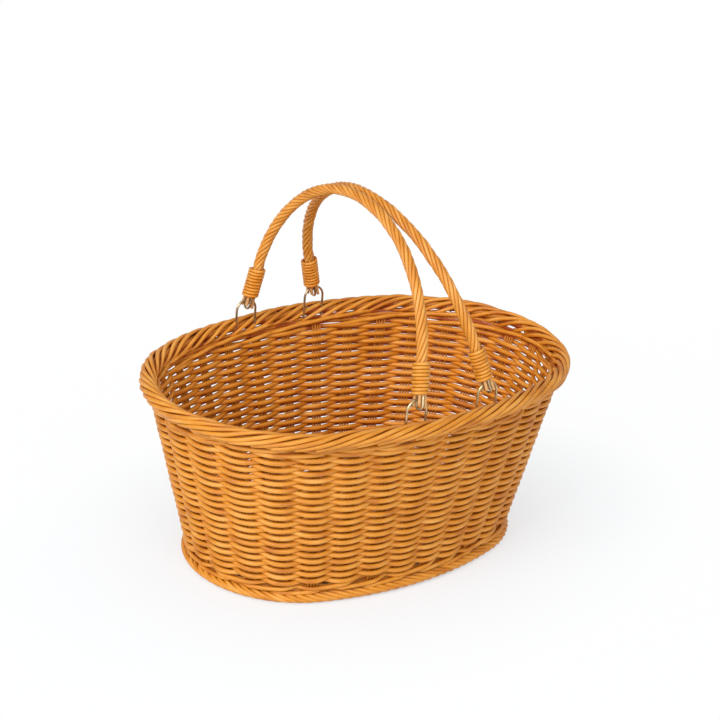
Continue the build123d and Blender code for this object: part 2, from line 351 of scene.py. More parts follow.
def wrap_tree(tube):
    """Bends flat strands round the basket: x counts columns, y is out of the wall's face, z is height."""
    tree, size = start_tree("wrap_round_the_wall", wrap_inputs)
    flat = add(tree, "ShaderNodeSeparateXYZ", {0: own_place(tree)}).outputs
    turns = calc(tree, "FRACT", calc(tree, "DIVIDE", flat["X"], size["Columns"]))
    samples = []
    for label in ("Foot oval", "Rim oval"):
        oval = add(tree, "GeometryNodeObjectInfo", {"Object": size[label]}).outputs["Geometry"]
        inputs = {"Curves": oval, "Factor": turns}
        sample = add(tree, "GeometryNodeSampleCurve", inputs, mode="FACTOR", use_all_curves=True)
        samples.append(sample.outputs)
    foot, rim = samples
    share = calc(tree, "DIVIDE", flat["Z"], size["Rim level"])
    climb = combine(tree, "SUBTRACT", rim["Position"], foot["Position"])
    face = combine(tree, "ADD", foot["Position"], stretch(tree, climb, share))
    outwards = combine(tree, "NORMALIZE", combine(tree, "CROSS_PRODUCT", rim["Tangent"], tuple(UP)))
    spot = combine(tree, "ADD", face, stretch(tree, outwards, flat["Y"]))
    spot = combine(tree, "ADD", spot, stretch(tree, rim["Tangent"], own_value(tree, "aside")))
    seeded = combine(tree, "ADD", spot, spread(tree, X=size["Seed"]))
    noise = add(tree, "ShaderNodeTexNoise", {"Vector": seeded, "Scale": lump_scale, "Detail": 1.0})
    shove = combine(tree, "SUBTRACT", noise.outputs["Color"], (0.5, 0.5, 0.5))
    spot = combine(tree, "ADD", spot, stretch(tree, shove, size["Lumpiness"]))
    facing_out = stretch(tree, outwards, own_value(tree, "facing_out"))
    facing_up = stretch(tree, tuple(UP), own_value(tree, "facing_up"))
    facing = combine(tree, "ADD", facing_out, facing_up)
    lines = keep_value(tree, size["Geometry"], "facing", facing, VECTOR)
    lines = keep_value(tree, lines, "middle", spot, VECTOR)
    lines = moved(tree, lines, Position=own_value(tree, "middle", VECTOR))
    return end_with(tree, size, tube, tube_inputs, lines)


def running_strand_tree(wrap):
    """One strand that runs round and round, out past some stakes and in past the others."""
    labels = ("Rows", "First row", "Samples", "First level", "Row pitch", "Middle", "Swing", "Period")
    labels += ("Outside share", "Slant", "Lift", "Sag", "Pinch", "Unevenness")
    tree, size = start_tree("running_strand", {**dict.fromkeys(labels, "Float"), **wrap_inputs})
    steps = calc(tree, "MULTIPLY", calc(tree, "MULTIPLY", size["Rows"], size["Columns"]), size["Samples"])
    count = calc(tree, "ADD", steps, 1.0)
    line = add(tree, "GeometryNodeMeshLine", {"Count": count}).outputs["Mesh"]
    index = add(tree, "GeometryNodeInputIndex").outputs[0]
    first = calc(tree, "MULTIPLY", size["First row"], size["Columns"])
    column = calc(tree, "ADD", calc(tree, "DIVIDE", index, size["Samples"]), first)
    rows = calc(tree, "DIVIDE", column, size["Columns"])
    phase = calc(tree, "FRACT", calc(tree, "DIVIDE", column, size["Period"]))
    half_out = calc(tree, "MULTIPLY", size["Outside share"], 0.5)
    turn = calc(tree, "MULTIPLY", calc(tree, "SUBTRACT", phase, half_out), math.tau)
    edge = calc(tree, "COSINE", calc(tree, "MULTIPLY", size["Outside share"], math.pi))
    swell = calc(tree, "SUBTRACT", calc(tree, "COSINE", turn), edge)
    lowest = calc(tree, "SUBTRACT", -1.0, edge)
    wave = rescale(tree, swell, lowest, 1.0, -1.0, 1.0)
    square = calc(tree, "MULTIPLY", wave, wave)
    fuller = calc(tree, "MULTIPLY_ADD", square, -crest_fullness, 1 + crest_fullness)
    wave = calc(tree, "MULTIPLY", wave, fuller)
    rise = calc(tree, "DIVIDE", phase, size["Outside share"])
    inside_share = calc(tree, "SUBTRACT", 1.0, size["Outside share"])
    fall = calc(tree, "DIVIDE", calc(tree, "SUBTRACT", 1.0, phase), inside_share)
    slope = rescale(tree, calc(tree, "MINIMUM", rise, fall), 0.0, 1.0, -1.0, 1.0, "SMOOTHSTEP")
    seeded = calc(tree, "ADD", column, size["Seed"])
    out = calc(tree, "MULTIPLY_ADD", wave, size["Swing"], size["Middle"])
    out = calc(tree, "ADD", out, wander(tree, seeded, running_drift, size["Unevenness"]))
    level = calc(tree, "MULTIPLY_ADD", rows, size["Row pitch"], size["First level"])
    level = calc(tree, "MULTIPLY_ADD", wave, size["Lift"], level)
    level = calc(tree, "MULTIPLY_ADD", calc(tree, "MULTIPLY", wave, wave), size["Sag"], level)
    level = calc(tree, "MULTIPLY_ADD", slope, size["Slant"], level)
    shifted = calc(tree, "ADD", seeded, direction_shift)
    level = calc(tree, "ADD", level, wander(tree, shifted, running_drift, size["Unevenness"]))
    line = keep_value(tree, line, "run", column)
    thin = calc(tree, "SUBTRACT", 1.0, calc(tree, "ABSOLUTE", wave))
    girth = calc(tree, "SUBTRACT", 1.0, calc(tree, "MULTIPLY", thin, size["Pinch"]))
    line = keep_value(tree, line, "girth", girth)
    line = keep_value(tree, line, "aside", 0.0)
    inside = calc(tree, "MULTIPLY", calc(tree, "MINIMUM", wave, 0.0), inner_facing)
    facing_out = calc(tree, "ADD", calc(tree, "MAXIMUM", wave, 0.0), inside)
    line = keep_value(tree, line, "facing_out", facing_out)
    line = moved(tree, line, Position=spread(tree, X=column, Y=out, Z=level))
    return end_with(tree, size, wrap, wrap_inputs, drawn_curve(tree, line))


def repeated_stroke_tree(wrap):
    """Repeats the drawn strands once in every column round the basket."""
    inputs = {"Copies": "Int", "Unevenness": "Float", **wrap_inputs}
    tree, size = start_tree("repeated_stroke", inputs)
    lines, number = copied(tree, drawn_curve(tree, size["Geometry"]), size["Copies"])
    own = calc(tree, "MULTIPLY_ADD", number, copy_shift, own_value(tree, "run"))
    shifted = calc(tree, "ADD", own, direction_shift)
    out = wander(tree, own, stroke_drift, size["Unevenness"])
    up = wander(tree, shifted, stroke_drift, size["Unevenness"])
    lines = moved(tree, lines, Offset=spread(tree, X=number, Y=out, Z=up))
    lines = keep_value(tree, lines, "run", own)
    return end_with(tree, size, wrap, wrap_inputs, lines)


def laid_strands_tree(tube):
    """Lays strands round a centre line, turned by the twist that its points carry."""
    inputs = {"Strands": "Int", "Lay radius": "Float", "Unevenness": "Float", "Across": "Vector"}
    tree, size = start_tree("laid_strands", {**inputs, **tube_inputs})
    lines, number = copied(tree, drawn_curve(tree, size["Geometry"]), size["Strands"])
    share = calc(tree, "DIVIDE", number, size["Strands"])
    angle = calc(tree, "MULTIPLY_ADD", share, math.tau, own_value(tree, "twist"))
    beside = combine(tree, "CROSS_PRODUCT", own_value(tree, "heading", VECTOR), size["Across"])
    first = stretch(tree, size["Across"], calc(tree, "COSINE", angle))
    second = stretch(tree, beside, calc(tree, "SINE", angle))
    lines = keep_value(tree, lines, "facing", combine(tree, "ADD", first, second), VECTOR)
    own = calc(tree, "MULTIPLY_ADD", number, copy_shift, own_value(tree, "run"))
    reach = calc(tree, "ADD", size["Lay radius"], wander(tree, own, running_drift, size["Unevenness"]))
    lines = moved(tree, lines, Offset=stretch(tree, own_value(tree, "facing", VECTOR), reach))
    lines = keep_value(tree, lines, "middle", own_place(tree), VECTOR)
    lines = keep_value(tree, lines, "run", own)
    return end_with(tree, size, tube, tube_inputs, lines)


def plain_strand_tree(tube):
    """Makes the drawn lines into strands where they are."""
    tree, size = start_tree("plain_strand", tube_inputs)
    return end_with(tree, size, tube, tube_inputs, drawn_curve(tree, size["Geometry"]))


tube = tube_tree()
wrap = wrap_tree(tube)
running_strand = running_strand_tree(wrap)
repeated_stroke = repeated_stroke_tree(wrap)
laid_strands = laid_strands_tree(tube)
plain_strand = plain_strand_tree(tube)


# Finishes

bump_depth = 0.2 * MM
# Painted shade colours for the creases where strands press together, on the weaving and in the handles'
# grooves
painted_shade_brown = (0.29, 0.028, 0.0005)
painted_groove_shade = (0.41, 0.105, 0.007)
# Painted light: a lift for faces that look in towards the basket's axis
painted_inner_light = (0.13, 0.08, 0.05)
# Strength and width of the painted shade in the creases
crevice_shade_share, crevice_shade_width = 0.8, 0.85
# Direction to the basket's axis and the range of facing over which the painted light inside comes in
to_the_axis = (-0.47, -1, 0)
inner_range = (0.05, 0.6)
tone_scale, tone_share, tone_base = 0.9, 0.65, 0.2
cloud_scale, cloud_share = 28.0, 0.25
grain_scale, grain_around, grain_along = 2.2, 3.2, 1.6
colour_range = (0.42, 0.88)
gloss_range = (0.3, 0.7)


def start_material(name):
    """A material with its node tree and its shader."""
    material = bpy.data.materials.new(name)
    material.use_nodes = True
    tree = material.node_tree
    return material, tree, tree.nodes["Principled BSDF"]


def carried(tree, name, output="Fac"):
    """A named value that the piece carries, read in a material."""
    return add(tree, "ShaderNodeAttribute", attribute_name=name).outputs[output]


def coordinates(tree, output="Object"):
    """The object's own coordinates, or its normal."""
    return add(tree, "ShaderNodeTexCoord").outputs[output]


def cloudy(tree, place, scale, detail=2.0):
    """Soft noise in space."""
    inputs = {"Vector": place, "Scale": scale, "Detail": detail}
    return add(tree, "ShaderNodeTexNoise", inputs).outputs["Fac"]


def mix_colours(tree, share, first, second):
    """A colour between two others."""
    inputs = {0: share, 6: first, 7: second}
    return add(tree, "ShaderNodeMix", inputs, data_type="RGBA").outputs[2]


def roughen(tree, shader, height, strength):
    """Fine bumps on the surface."""
    inputs = {"Height": height, "Strength": strength, "Distance": bump_depth}
    bump = add(tree, "ShaderNodeBump", inputs)
    tree.links.new(bump.outputs["Normal"], shader.inputs["Normal"])


def cane_finish(
    name,
    light,
    middle,
    dark,
    painted_shade=painted_shade_brown,
    roughness=0.42,
    grain_share=0.5,
    grain_depth=0.3,
    clear_above=0.45,
    inner_painted_light=painted_inner_light,
):
    """Peeled, stained cane: long fibres, drifting tone, painted shade where the strands press together,
    painted light where the skin looks in towards the basket's axis.
    """
    material, tree, shader = start_material(name)
    run = carried(tree, "run")
    place = coordinates(tree)
    inputs = {"W": run, "Scale": tone_scale, "Detail": 2.0}
    tone = add(tree, "ShaderNodeTexNoise", inputs, noise_dimensions="1D").outputs["Fac"]
    along = spread(tree, Z=calc(tree, "MULTIPLY", run, grain_along))
    around = stretch(tree, carried(tree, "around", "Vector"), grain_around)
    grain = cloudy(tree, combine(tree, "ADD", around, along), grain_scale, 3.0)
    mix = calc(tree, "MULTIPLY_ADD", tone, tone_share, tone_base - 0.5 * grain_share)
    mix = calc(tree, "MULTIPLY_ADD", grain, grain_share, mix)
    mix = calc(tree, "MULTIPLY_ADD", cloudy(tree, place, cloud_scale), cloud_share, mix)
    ramp = add(tree, "ShaderNodeValToRGB", {0: rescale(tree, mix, *colour_range)})
    stops = ramp.color_ramp.elements
    stops[0].color = (*dark, 1)
    stops[1].color = (*light, 1)
    stops.new(0.5).color = (*middle, 1)
    # Painted shade: darker where the skin looks towards the strands that it is pressed against
    shade_mask_below = clear_above - crevice_shade_width
    bare = carried(tree, "open")
    shade_mask = rescale(tree, bare, shade_mask_below, clear_above, crevice_shade_share, 0.0, "SMOOTHSTEP")
    colour = mix_colours(tree, shade_mask, ramp.outputs["Color"], (*painted_shade, 1))
    # Painted light: lighter where the skin looks in towards the basket's axis
    inwards = combine(tree, "NORMALIZE", combine(tree, "MULTIPLY", place, to_the_axis))
    inside = measure(tree, "DOT_PRODUCT", inwards, coordinates(tree, "Normal"))
    inside = rescale(tree, inside, *inner_range, way="SMOOTHSTEP")
    glow = combine(tree, "ADD", stretch(tree, inner_painted_light, inside), (1, 1, 1))
    tree.links.new(combine(tree, "MULTIPLY", colour, glow), shader.inputs["Base Color"])
    gloss = rescale(tree, grain, *gloss_range, roughness + 0.08, roughness - 0.06)
    tree.links.new(gloss, shader.inputs["Roughness"])
    shader.inputs["Specular IOR Level"].default_value = 0.5
    roughen(tree, shader, grain, grain_depth)
    return material


def cut_finish(name):
    """Cut cane: stained skin at the side, pale open pores on the cut end."""
    material, tree, shader = start_material(name)
    place = coordinates(tree)
    pores = add(tree, "ShaderNodeTexVoronoi", {"Vector": place, "Scale": 2600.0}).outputs["Distance"]
    pale = mix_colours(tree, pores, (0.42, 0.25, 0.10, 1), (0.78, 0.60, 0.36, 1))
    skin = mix_colours(tree, cloudy(tree, place, 260.0), (0.46, 0.20, 0.06, 1), (0.78, 0.44, 0.16, 1))
    colour = mix_colours(tree, carried(tree, "cut"), skin, pale)
    tree.links.new(colour, shader.inputs["Base Color"])
    shader.inputs["Roughness"].default_value = 0.6
    roughen(tree, shader, pores, 0.4)
    return material


def wire_finish(name):
    """Dull brass wire with tarnish in patches."""
    material, tree, shader = start_material(name)
    patch = cloudy(tree, coordinates(tree), 160.0, 3.0)
    ramp = add(tree, "ShaderNodeValToRGB", {0: rescale(tree, patch, 0.35, 0.65)})
    ramp.color_ramp.elements[0].color = (0.40, 0.29, 0.14, 1)
    ramp.color_ramp.elements[1].color = (0.74, 0.58, 0.34, 1)
    tree.links.new(ramp.outputs["Color"], shader.inputs["Base Color"])
    tree.links.new(rescale(tree, patch, *gloss_range, 0.42, 0.26), shader.inputs["Roughness"])
    shader.inputs["Metallic"].default_value = 0.9
    roughen(tree, shader, patch, 0.15)
    return material


weave_cane_finish = cane_finish(
    "weaving_cane",
    light=(0.76, 0.36, 0.065),
    middle=(0.67, 0.255, 0.014),
    dark=(0.46, 0.13, 0.003),
)
stake_cane_finish = cane_finish(
    "stake_cane",
    light=(0.66, 0.25, 0.03),
    middle=(0.54, 0.18, 0.01),
    dark=(0.34, 0.09, 0.003),
    roughness=0.5,
)
handle_cane_finish = cane_finish(
    "handle_cane",
    light=(0.78, 0.38, 0.08),
    middle=(0.68, 0.27, 0.025),
    dark=(0.50, 0.16, 0.006),
    # painted shade in the grooves between the laid canes, and no painted light inside
    painted_shade=painted_groove_shade,
    grain_share=0.25,
    grain_depth=0.08,
    clear_above=0.85,
    inner_painted_light=(0, 0, 0),
)
cut_cane_finish = cut_finish("cut_cane")
brass_finish = wire_finish("brass_wire")


# Pieces grown by the trees


def add_object(name, data):
    """An object in the scene."""
    made = bpy.data.objects.new(name, data)
    bpy.context.scene.collection.objects.link(made)
    return made


def evenly_spaced(count, spacing):
    """Distances to both sides of a middle line."""
    return [(number - (count - 1) / 2) * spacing for number in range(count)]


def draw_lines(name, lines, values):
    """A mesh of open lines of even girth, whose points carry named values."""
    mesh = bpy.data.meshes.new(name)
    points = []
    edges = []
    for line in lines:
        start = len(points)
        points += [tuple(point) for point in line]
        edges += [(number, number + 1) for number in range(start, len(points) - 1)]
    mesh.from_pydata(points, edges, [])
    for value_name, numbers in {"girth": [1.0] * len(points), **values}.items():
        single = isinstance(numbers[0], (int, float))
        layer = mesh.attributes.new(value_name, "FLOAT" if single else VECTOR, "POINT")
        for point, value in zip(layer.data, numbers):
            setattr(point, "value" if single else "vector", value)
    return mesh


def grow(name, tree, source, sizes):
    """Runs a tree on a source mesh and keeps the result as a plain mesh piece."""
    carrier = add_object(name + "_source", source)
    modifier = carrier.modifiers.new("form", "NODES")
    modifier.node_group = tree
    for socket in tree.interface.items_tree:
        if socket.in_out == "INPUT" and socket.name in sizes:
            modifier[socket.identifier] = sizes[socket.name]
    bpy.context.view_layer.update()
    graph = bpy.context.evaluated_depsgraph_get()
    mesh = bpy.data.meshes.new_from_object(carrier.evaluated_get(graph), depsgraph=graph)
    mesh.name = name
    carrier.modifiers.remove(modifier)
    bpy.data.objects.remove(carrier)
    return add_object(name, mesh)


def dress(piece, body, slot, *nodes):
    """Puts a finished piece on its body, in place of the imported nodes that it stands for."""
    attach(piece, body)
    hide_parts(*nodes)


def wall_half_sizes(level):
    """Half length and half width of the wall's outer face at a height."""
    share = (level - floor_low.z) / (side_high.z - floor_low.z)
    lengths = []
    for foot, rim in ((floor_high.x, side_high.x), (floor_high.y, side_high.y)):
        foot += wall_thickness
        lengths.append(foot + share * (rim - foot))
    return lengths


def draw_oval(name, level):
    """Guide curve: a four-arc oval along the wall's outer face, from the right end round."""
    half_length, half_width = wall_half_sizes(level)
    end_radius = end_radius_share * half_width
    end_centre = half_length - end_radius
    side_radius = (end_centre**2 + half_width**2 - end_radius**2) / (2 * (half_width - end_radius))
    side_centre = side_radius - half_width
    turn = math.atan2(side_centre, end_centre)
    arcs = (
        (end_centre, 0, end_radius, 0, turn),
        (0, -side_centre, side_radius, turn, math.pi - 2 * turn),
        (-end_centre, 0, end_radius, math.pi - turn, 2 * turn),
        (0, side_centre, side_radius, math.pi + turn, math.pi - 2 * turn),
        (end_centre, 0, end_radius, math.tau - turn, turn),
    )
    length = sum(radius * sweep for _, _, radius, _, sweep in arcs)
    curve = bpy.data.curves.new(name, "CURVE")
    curve.dimensions = "3D"
    spline = curve.splines.new("POLY")
    spline.use_cyclic_u = True
    spline.points.add(oval_points - 1)
    for number, point in enumerate(spline.points):
        left = length * number / oval_points
        for x, y, radius, start, sweep in arcs:
            if left <= radius * sweep:
                break
            left -= radius * sweep
        angle = start + left / radius
        point.co = (x + radius * math.cos(angle), y + radius * math.sin(angle), level, 1)
    return add_object(name, curve)


foot_oval = draw_oval("foot_oval", 0)
rim_oval = draw_oval("rim_oval", rim_level)
round_the_wall = {
    "Foot oval": foot_oval,
    "Rim oval": rim_oval,
    "Rim level": rim_level,
    "Columns": float(columns),
    "Lumpiness": wall_lumpiness,
    "Seed": noise_seed,
    "Sides": strand_sides,
    "Finish": weave_cane_finish,
}
empty_source = bpy.data.meshes.new("empty_source")


# Wall: one strand in plain weave, in two bands
weave_sizes = {
    **round_the_wall,
    "Rows": weave_rows / 2,
    "Samples": samples_per_column,
    "First level": weave_first_level,
    "Row pitch": (side_high.z - side_low.z) / weave_rows,
    "Middle": middle_of_wall,
    "Swing": weave_swing,
    "Period": 2.0,
    "Outside share": 0.5,
    "Lift": weave_lift,
    "Sag": weave_sag,
    "Pinch": weave_pinch,
    "Unevenness": weave_unevenness,
    "Strand radius": weave_strand / 2,
}
for band, band_name in enumerate(("low", "high")):
    sizes = {**weave_sizes, "First row": band * weave_rows / 2}
    piece = grow(f"woven_wall_{band_name}", running_strand, empty_source, sizes)
    dress(piece, "basket", "weaving_cane", "side_weave")


# Wales: long slanting floats over two stakes, in past the third
wale_sizes = {
    **weave_sizes,
    "Swing": wale_swing,
    "Period": 3.0,
    "Outside share": 2 / 3,
    "Slant": wale_slant,
    "Lift": wale_lift,
    "Sag": 0.0,
    "Strand radius": wale_strand / 2,
    "Unevenness": wale_unevenness,
}
for name, (node, rows) in wales.items():
    low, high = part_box(node)
    pitch = (high.z - low.z) / rows
    sizes = {**wale_sizes, "Rows": float(rows), "Row pitch": pitch, "First level": low.z + wale_start}
    piece = grow(name, running_strand, empty_source, sizes)
    dress(piece, "basket", "weaving_cane", node)


# Stakes: flat groups of thin canes in the middle of the wall
def draw_stakes():
    """One group of canes, side by side in the middle of the wall."""
    lines = []
    aside = []
    run = []
    step = (rim_high.z - foot_level) / stake_points
    levels = [foot_level + number * step for number in range(stake_points)]
    for cane, offset in enumerate(evenly_spaced(stake_canes, stake_cane * stake_spread)):
        lines.append([(stake_column, middle_of_wall, level) for level in levels])
        aside += [offset] * stake_points
        run += [cane * stake_shift + level / run_unit for level in levels]
    return draw_lines("stake_group", lines, {"aside": aside, "run": run})


stake_sizes = {
    **round_the_wall,
    "Copies": columns,
    "Unevenness": stake_unevenness,
    "Strand radius": stake_cane / 2,
    "Finish": stake_cane_finish,
}
piece = grow("wall_stakes", repeated_stroke, draw_stakes(), stake_sizes)
dress(piece, "basket", "stake_cane", "stakes_right", "stakes_back", "stakes_left", "stakes_front")


# Border: canes that come up inside, over the rim and down along the outside
def draw_wraps(centre, half_size, starts, reach, turns, bend=1.0):
    """Strands that wrap round an edge as they run on over the given number of columns.

    Angle 0 points out of the wall and 90 degrees up. Each strand starts at the first of two
    places in its column and has moved over to the second half way along.
    """
    lines = []
    run = []
    facing_out = []
    facing_up = []
    for start, end in starts:
        line = []
        for number in range(wrap_points):
            share = number / (wrap_points - 1)
            angle = turns[0] + (turns[1] - turns[0]) * share**bend
            column = start + (end - start) * min(1, share * 2) + reach * share
            out, up = math.cos(angle), math.sin(angle)
            line.append((column, centre.x + half_size.x * out, centre.y + half_size.y * up))
            run.append(start * wrap_shift + reach * share)
            facing_out.append(out)
            facing_up.append(up)
        lines.append(line)
    values = {"aside": [0.0] * len(run), "run": run, "facing_out": facing_out, "facing_up": facing_up}
    return draw_lines("wraps", lines, values)


border_sizes = {
    **round_the_wall,
    "Copies": columns,
    "Unevenness": border_unevenness,
    "Lumpiness": border_lumpiness,
    "Strand radius": border_strand / 2,
}
border_wraps = draw_wraps(
    centre=border_centre,
    half_size=border_half_size,
    starts=border_starts,
    reach=border_reach,
    turns=border_turns,
    bend=border_bend,
)
piece = grow("rim_border", repeated_stroke, border_wraps, border_sizes)
dress(piece, "basket", "weaving_cane", "top_border")

core_sizes = {
    **weave_sizes,
    **dict.fromkeys(("First row", "Swing", "Lift", "Sag", "Pinch", "Unevenness"), 0.0),
    "Finish": stake_cane_finish,
}
cores = {
    "rim_core": ("top_border", 1, border_centre.y, 0.0, border_centre.x, border_core),
    "foot_core": ("foot_border", 1, foot_core_level, 0.0, foot_core_middle, foot_core),
    "rim_filler": ("upper_wale", filler_rows, filler_level, filler_pitch, middle_of_wall, rim_filler),
}
for name, (node, rows, level, pitch, middle, thickness) in cores.items():
    sizes = {
        **core_sizes,
        "Rows": float(rows),
        "First level": level,
        "Row pitch": pitch,
        "Middle": middle,
        "Strand radius": thickness / 2,
    }
    piece = grow(name, running_strand, empty_source, sizes)
    dress(piece, "basket", "stake_cane", node)

plait_wraps = draw_wraps(
    centre=plait_centre,
    half_size=plait_half_size,
    starts=plait_starts,
    reach=plait_reach,
    turns=plait_turns,
)
plait_sizes = {
    **border_sizes,
    "Unevenness": 0.0,
    "Lumpiness": 0.0,
    "Strand radius": plait_strand / 2,
}
piece = grow("foot_plait", repeated_stroke, plait_wraps, plait_sizes)
dress(piece, "basket", "weaving_cane", "foot_border")


# Floor: rows of weaving across the cross sticks, and long sticks over them
def floor_reach(offset, half_long, half_short):
    """How far the floor's oval reaches at a distance from its middle line."""
    if abs(offset) >= half_short:
        return 0.0
    return half_long * math.sqrt(1 - (abs(offset) / half_short) ** floor_roundness)


def draw_floor_rows():
    """Strands along the floor, over and under the cross sticks in turn."""
    lines = []
    run = []
    rows = int(floor_high.y / floor_pitch)
    for row in range(-rows, rows + 1):
        offset = row * floor_pitch
        reach = floor_reach(offset, floor_high.x, floor_high.y)
        if reach < cross_stick_spacing / 2:
            continue
        count = max(8, int(reach / floor_step))
        line = []
        for number in range(count + 1):
            along = -reach + 2 * reach * number / count
            wave = math.cos(math.pi * (along / cross_stick_spacing + row))
            line.append((along, offset, floor_middle + wave * floor_swing))
            run.append(row * floor_row_shift + along / run_unit)
        lines.append(line)
    return draw_lines("floor_rows", lines, {"run": run})


def draw_floor_sticks():
    """Cross sticks between the rows and long sticks over them."""
    lines = []
    run = []
    for number, offset in enumerate(evenly_spaced(cross_stick_count, cross_stick_spacing)):
        reach = floor_reach(offset, floor_high.y, floor_high.x)
        lines.append([(offset, reach * part, floor_middle) for part in (-1, 0, 1)])
        run += [number * cross_stick_shift + point * cross_stick_drift for point in range(3)]
    for number, offset in enumerate(evenly_spaced(long_stick_count, long_stick_spacing)):
        reach = floor_reach(offset, floor_high.x, floor_high.y)
        level = floor_middle + long_stick_rise
        lines.append([(reach * part, offset, level) for part in (-1, 0, 1)])
        run += [number * long_stick_shift + point * long_stick_drift for point in range(3)]
    return draw_lines("floor_sticks", lines, {"run": run})


floor_sizes = {"Sides": strand_sides, "Strand radius": floor_strand / 2, "Finish": weave_cane_finish}
piece = grow("floor_rows", plain_strand, draw_floor_rows(), floor_sizes)
dress(piece, "basket", "weaving_cane", "base_weave")
floor_sizes = {"Sides": strand_sides, "Strand radius": stick_radius, "Finish": stake_cane_finish}
piece = grow("floor_sticks", plain_strand, draw_floor_sticks(), floor_sizes)
dress(piece, "basket", "stake_cane", "base_cross_sticks", "base_long_sticks")


# Wires and handles


def arc_points(start, heading, end, count):
    """Points on the arc that leaves start along heading and ends at end, with their headings."""
    chord = end - start
    along = chord.dot(heading)
    beside = (chord - heading * along).normalized()
    reach = chord.dot(beside)
    radius = chord.length_squared / (2 * reach)
    turn = 2 * math.atan2(reach, along)
    made = []
    for number in range(1, count + 1):
        angle = turn * number / count
        spot = start + heading * (radius * math.sin(angle)) + beside * (radius * (1 - math.cos(angle)))
        made.append((spot, heading * math.cos(angle) + beside * math.sin(angle)))
    return made


def biarc_points(start, start_heading, end, end_heading, count):
    """Points along two tangent arcs from one point and heading to another."""
    chord = end - start
    both = start_heading + end_heading
    fold = 2 * (1 - start_heading.dot(end_heading))
    along = chord.dot(both)
    reach = (math.sqrt(along**2 + fold * chord.dot(chord)) - along) / fold
    start_handle = start + start_heading * reach
    end_handle = end - end_heading * reach
    middle = (start_handle + end_handle) / 2
    first = arc_points(start, start_heading, middle, count)
    return first + arc_points(middle, (end_handle - start_handle).normalized(), end, count)


def bow_axis(side):
    """Direction from a handle's hinge up to its crown."""
    return Vector((-side * math.sin(rest_lean), 0, math.cos(rest_lean)))


def leg_axes(side, end):
    """One handle leg: where the loop's wire passes it, then its directions across, up and out."""
    up_bow = bow_axis(side)
    normal = Vector((math.cos(rest_lean), 0, side * math.sin(rest_lean)))
    hinge = Vector((side * hinge_distance, end * loop_distance, hinge_height))
    origin = hinge + up_bow * loop_radius
    tilt = leg_tilts[end]
    up_leg = up_bow * math.cos(tilt) - Vector((0, end * math.sin(tilt), 0))
    across = Vector((0, math.cos(tilt), 0)) + up_bow * (end * math.sin(tilt))
    return origin, across, up_leg, normal


def bow_line(side):
    """Centre line of one bow with its headings, from the front leg's end to the back leg's."""
    front, _, front_up, _ = leg_axes(side, -1)
    back, _, back_up, _ = leg_axes(side, 1)
    apex = Vector((side * hinge_distance, bow_skew, hinge_height)) + bow_axis(side) * bow_height
    level = Vector((0, 1, 0))
    step = (bow_leg_length - lay_inset) / bow_steps
    start = front + front_up * (cane_start + lay_inset)
    made = [(start + front_up * (step * number), front_up) for number in range(bow_steps + 1)]
    made += biarc_points(made[-1][0], front_up, apex, level, 2 * bow_steps)
    bend = back + back_up * (cane_start + bow_leg_length)
    made += biarc_points(apex, level, bend, -back_up, 2 * bow_steps)
    made += [(bend - back_up * (step * number), -back_up) for number in range(1, bow_steps + 1)]
    return made


def twist_at(share):
    """Radians of twist per millimetre at a share of the bow's length."""
    for (low, low_rate), (high, high_rate) in zip(twist_rates, twist_rates[1:]):
        if share <= high:
            break
    return low_rate + (high_rate - low_rate) * (share - low) / (high - low)


def draw_bow(side):
    """The bow's centre line, carrying the twist that its strands follow."""
    line = bow_line(side)
    lengths = [0.0]
    for (last, _), (spot, _) in zip(line, line[1:]):
        lengths.append(lengths[-1] + (spot - last).length)
    twist = [0.0]
    for last, length in zip(lengths, lengths[1:]):
        share = (last + length) / 2 / lengths[-1]
        twist.append(twist[-1] + twist_at(share) * (length - last) / MM)
    values = {
        "twist": twist,
        "heading": [tuple(heading) for _, heading in line],
        "run": [length / run_unit for length in lengths],
    }
    return draw_lines("bow", [[spot for spot, _ in line]], values)


def draw_whippings(side):
    """The legs' centre lines under the whippings, carrying one turn of twist per turn."""
    lines = []
    twist = []
    heading = []
    steps = whipping_steps_per_turn * whipping_turns
    for end in (-1, 1):
        origin, _, up_leg, _ = leg_axes(side, end)
        line = []
        for number in range(steps + 1):
            turns = whipping_turns * number / steps
            line.append(origin + up_leg * (whipping_base + turns * whipping_pitch))
            twist.append(turns * math.tau)
            heading.append(tuple(up_leg))
        lines.append(line)
    run = [turn / 2 for turn in twist]
    return draw_lines("whippings", lines, {"twist": twist, "heading": heading, "run": run})


def wire_run(lines):
    """A value for the tone that runs on from point to point."""
    return [wire_drift * number for number in range(sum(len(line) for line in lines))]


def arch_points(centre, across, over, radius):
    """Points on the half circle from one side of its centre, over the top, to the other."""
    angles = [math.pi * (1 - number / arch_steps) for number in range(arch_steps + 1)]
    return [centre + (across * math.cos(angle) + over * math.sin(angle)) * radius for angle in angles]


def draw_loops():
    """Arched wires whose legs stand in the border."""
    lines = []
    for side in (-1, 1):
        for end in (-1, 1):
            centre = Vector((side * hinge_distance, end * loop_distance, hinge_height))
            arch = arch_points(centre, Vector((1, 0, 0)), UP, loop_radius)
            feet = [Vector((spot.x, spot.y, rim_level)) for spot in (arch[0], arch[-1])]
            lines.append([feet[0], *arch, feet[1]])
    return draw_lines("loops", lines, {"run": wire_run(lines)})


def draw_eyes(side):
    """Wire eyes that hang round the loops, legs up under the whippings."""
    lines = []
    for end in (-1, 1):
        origin, across, up_leg, _ = leg_axes(side, end)
        centre = origin - up_leg * (eye_reach - eye_radius)
        top = origin + up_leg * (cane_start + eye_leg_length)
        arch = arch_points(centre, across, -up_leg, eye_radius)
        lines.append([top - across * eye_radius, *arch, top + across * eye_radius])
    return draw_lines("eyes", lines, {"run": wire_run(lines)})


